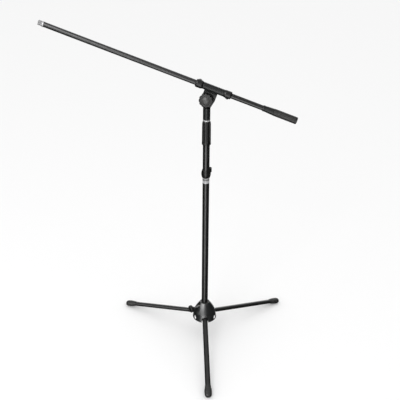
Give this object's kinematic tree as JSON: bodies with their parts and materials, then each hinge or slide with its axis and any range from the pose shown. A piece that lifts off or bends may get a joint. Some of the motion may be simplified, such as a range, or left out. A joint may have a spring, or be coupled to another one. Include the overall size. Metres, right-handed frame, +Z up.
{
  "type": "boom microphone stand",
  "caption": "Tripod floor stand with a telescoping pole, a tilting and sliding boom with a counterweight, and a threaded tip for a microphone clip.",
  "frame": {"origin": "on the floor, under the pole's axis, midway between the three feet", "axes": "+Z up along the pole, -Y along the front leg, +X towards the counterweight end of the boom"},
  "size_m": [0.7896, 0.5073, 1.1174],
  "materials": {
    "black_tube": "semi-gloss black powder coat",
    "satin_black_metal": "satin black paint on die-cast zinc",
    "black_plastic": "fine-textured black nylon",
    "gloss_plastic": "semi-gloss dark grey",
    "rubber": "matte black rubber",
    "zinc_steel": "zinc-plated",
    "chrome": "bright nickel",
    "silver_band": "satin silver film",
    "brass": "machined"
  },
  "bodies": {
    "pole": {"lower_tube": "black_tube", "lower_tube_plug": "black_plastic", "label_band": "silver_band", "clutch_body": "black_plastic", "clutch_collet": "black_plastic"},
    "hub": {"hub_housing": "satin_black_metal", "hub_bushing_upper": "black_plastic", "hub_bushing_lower": "black_plastic", "leg_hinge_pins": "zinc_steel", "thumbscrew_insert": "brass"},
    "screw_pad": {"thumbscrew_pad": "black_plastic"},
    "thumbscrew": {"thumbscrew_shank": "zinc_steel", "thumbscrew_knob": "black_plastic"},
    "clip": {"cable_clip": "black_plastic"},
    "height_grip": {"height_grip": "black_plastic"},
    "guide_bush": {"upper_tube_bush": "black_plastic"},
    "swivel": {"upper_tube": "black_tube", "upper_tube_stud": "zinc_steel", "swivel_ring": "chrome", "swivel_base": "satin_black_metal", "friction_washer": "rubber", "pivot_bolt": "zinc_steel"},
    "holder": {"boom_holder": "satin_black_metal", "boom_collet_front": "black_plastic", "boom_collet_rear": "black_plastic"},
    "tilt_knob": {"knob_washer": "zinc_steel", "tilt_knob": "black_plastic", "tilt_knob_insert": "brass", "tilt_knob_cap": "gloss_plastic"},
    "front_collar": {"boom_collar_front": "black_plastic"},
    "rear_collar": {"boom_collar_rear": "black_plastic"},
    "boom": {"boom_tube": "black_tube", "mic_thread": "chrome", "mic_thread_ring": "chrome", "counterweight_core": "satin_black_metal", "counterweight_sleeve": "rubber", "counterweight_cap": "black_plastic"},
    "leg_front": {"leg_tube_front": "black_tube", "leg_knuckle_front": "black_plastic", "foot_front": "rubber"},
    "leg_right": {"leg_tube_right": "black_tube", "leg_knuckle_right": "black_plastic", "foot_right": "rubber"},
    "leg_left": {"leg_tube_left": "black_tube", "leg_knuckle_left": "black_plastic", "foot_left": "rubber"}
  },
  "joints": [
    {"name": "hub_slide", "type": "slide", "parent": "pole", "child": "hub", "axis": [0, 0, 1], "range_m": [0, 0.245]},
    {"name": "leg_front_fold", "type": "hinge", "parent": "hub", "child": "leg_front", "pos_m": [0, -0.026, 0.084], "axis": [1, 0, 0], "range_deg": [0, 76.4]},
    {"name": "leg_right_fold", "type": "hinge", "parent": "hub", "child": "leg_right", "pos_m": [0.02252, 0.013, 0.084], "axis": [-0.5, 0.866, 0], "range_deg": [0, 76.4]},
    {"name": "leg_left_fold", "type": "hinge", "parent": "hub", "child": "leg_left", "pos_m": [-0.02252, 0.013, 0.084], "axis": [-0.5, -0.866, 0], "range_deg": [0, 76.4]},
    {"name": "thumbscrew_travel", "type": "slide", "parent": "hub", "child": "screw_pad", "axis": [-0.866, -0.5, 0], "range_m": [0, 0.0026]},
    {"name": "thumbscrew_turn", "type": "hinge", "parent": "screw_pad", "child": "thumbscrew", "pos_m": [0, 0, 0.1245], "axis": [-0.866, -0.5, 0], "range_deg": [0, 900]},
    {"name": "clip_slide", "type": "slide", "parent": "pole", "child": "clip", "axis": [0, 0, 1], "range_m": [-0.22, 0.075]},
    {"name": "height_grip_twist", "type": "hinge", "parent": "pole", "child": "height_grip", "pos_m": [0, 0, 0.78], "axis": [0, 0, 1], "range_deg": [0, 180]},
    {"name": "height_slide", "type": "slide", "parent": "pole", "child": "guide_bush", "axis": [0, 0, 1], "range_m": [0, 0.5]},
    {"name": "swivel_turn", "type": "hinge", "parent": "guide_bush", "child": "swivel", "pos_m": [0, 0, 0.8], "axis": [0, 0, 1], "continuous": true},
    {"name": "boom_tilt", "type": "hinge", "parent": "swivel", "child": "holder", "pos_m": [0, 0, 0.8985], "axis": [0.1564, 0.9877, 0], "range_deg": [-105, 67]},
    {"name": "tilt_knob_turn", "type": "hinge", "parent": "swivel", "child": "tilt_knob", "pos_m": [0, 0, 0.8985], "axis": [-0.1564, -0.9877, 0], "range_deg": [0, 360]},
    {"name": "boom_slide", "type": "slide", "parent": "holder", "child": "boom", "axis": [0.933, -0.1478, -0.328], "range_m": [-0.1, 0.42]},
    {"name": "front_collar_twist", "type": "hinge", "parent": "holder", "child": "front_collar", "pos_m": [-0.02582, 0.00409, 0.94516], "axis": [-0.933, 0.1478, 0.328], "range_deg": [0, 120]},
    {"name": "rear_collar_twist", "type": "hinge", "parent": "holder", "child": "rear_collar", "pos_m": [0.06282, -0.00995, 0.91399], "axis": [0.933, -0.1478, -0.328], "range_deg": [0, 120]}
  ],
  "couplings": [
    {"joint": "leg_front_fold", "follows": "hub_slide", "rad_per_m": 5.4355},
    {"joint": "leg_right_fold", "follows": "hub_slide", "rad_per_m": 5.4355},
    {"joint": "leg_left_fold", "follows": "hub_slide", "rad_per_m": 5.4355},
    {"joint": "thumbscrew_travel", "follows": "thumbscrew_turn", "m_per_rad": 0.00015915}
  ]
}
